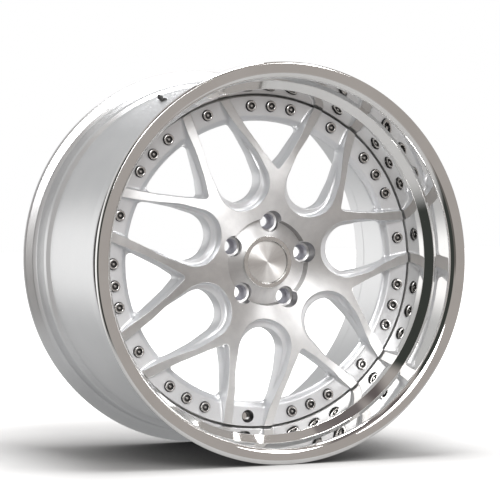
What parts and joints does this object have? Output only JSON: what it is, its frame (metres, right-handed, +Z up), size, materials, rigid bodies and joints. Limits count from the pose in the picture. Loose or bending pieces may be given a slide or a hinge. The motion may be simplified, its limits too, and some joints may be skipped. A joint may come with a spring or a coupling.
{
  "type": "forged multi-piece wheel rim",
  "caption": "Three-piece forged wheel rim with a polished stepped outer lip, brushed mesh-spoke disc, silver barrel, ring of assembly bolts and a removable centre cap.",
  "frame": {"origin": "centre of the rim: on the wheel's axis, halfway between the two outer flange faces", "axes": "+Y along the wheel's axis towards the car, -Y out of the street side, +Z up as the rim stands"},
  "size_m": [0.547, 0.318, 0.547],
  "materials": {
    "brushed_forged_aluminium": "brushed and clear coated on the machined faces, silver paint in the pockets",
    "polished_lip_aluminium": "mirror polished",
    "silver_barrel_paint": "satin silver paint over forged aluminium",
    "plated_bolt_steel": "bright plated",
    "polished_cap_aluminium": "polished",
    "seal_rubber": "matt"
  },
  "bodies": {
    "rim": {"centre_disc": "brushed_forged_aluminium", "outer_lip": "polished_lip_aluminium", "inner_barrel": "silver_barrel_paint", "rim_seal_ring": "seal_rubber", "assembly_bolt_01": "plated_bolt_steel", "assembly_bolt_02": "plated_bolt_steel", "assembly_bolt_03": "plated_bolt_steel", "assembly_bolt_04": "plated_bolt_steel", "assembly_bolt_05": "plated_bolt_steel", "assembly_bolt_06": "plated_bolt_steel", "assembly_bolt_07": "plated_bolt_steel", "assembly_bolt_08": "plated_bolt_steel", "assembly_bolt_09": "plated_bolt_steel", "assembly_bolt_10": "plated_bolt_steel", "assembly_bolt_11": "plated_bolt_steel", "assembly_bolt_12": "plated_bolt_steel", "assembly_bolt_13": "plated_bolt_steel", "assembly_bolt_14": "plated_bolt_steel", "assembly_bolt_15": "plated_bolt_steel", "assembly_bolt_16": "plated_bolt_steel", "assembly_bolt_17": "plated_bolt_steel", "assembly_bolt_18": "plated_bolt_steel", "assembly_bolt_19": "plated_bolt_steel", "assembly_bolt_20": "plated_bolt_steel", "assembly_bolt_21": "plated_bolt_steel", "assembly_bolt_22": "plated_bolt_steel", "assembly_bolt_23": "plated_bolt_steel", "assembly_bolt_24": "plated_bolt_steel", "assembly_bolt_25": "plated_bolt_steel", "assembly_bolt_26": "plated_bolt_steel", "assembly_bolt_27": "plated_bolt_steel", "assembly_nut_01": "plated_bolt_steel", "assembly_nut_02": "plated_bolt_steel", "assembly_nut_03": "plated_bolt_steel", "assembly_nut_04": "plated_bolt_steel", "assembly_nut_05": "plated_bolt_steel", "assembly_nut_06": "plated_bolt_steel", "assembly_nut_07": "plated_bolt_steel", "assembly_nut_08": "plated_bolt_steel", "assembly_nut_09": "plated_bolt_steel", "assembly_nut_10": "plated_bolt_steel", "assembly_nut_11": "plated_bolt_steel", "assembly_nut_12": "plated_bolt_steel", "assembly_nut_13": "plated_bolt_steel", "assembly_nut_14": "plated_bolt_steel", "assembly_nut_15": "plated_bolt_steel", "assembly_nut_16": "plated_bolt_steel", "assembly_nut_17": "plated_bolt_steel", "assembly_nut_18": "plated_bolt_steel", "assembly_nut_19": "plated_bolt_steel", "assembly_nut_20": "plated_bolt_steel", "assembly_nut_21": "plated_bolt_steel", "assembly_nut_22": "plated_bolt_steel", "assembly_nut_23": "plated_bolt_steel", "assembly_nut_24": "plated_bolt_steel", "assembly_nut_25": "plated_bolt_steel", "assembly_nut_26": "plated_bolt_steel", "assembly_nut_27": "plated_bolt_steel"},
    "centre_cap": {"centre_cap_ring": "polished_cap_aluminium", "centre_cap_insert": "brushed_forged_aluminium"}
  },
  "joints": [
    {"name": "centre_cap_release", "type": "slide", "parent": "rim", "child": "centre_cap", "axis": [0, -1, 0], "range_m": [0, 0.014]}
  ]
}
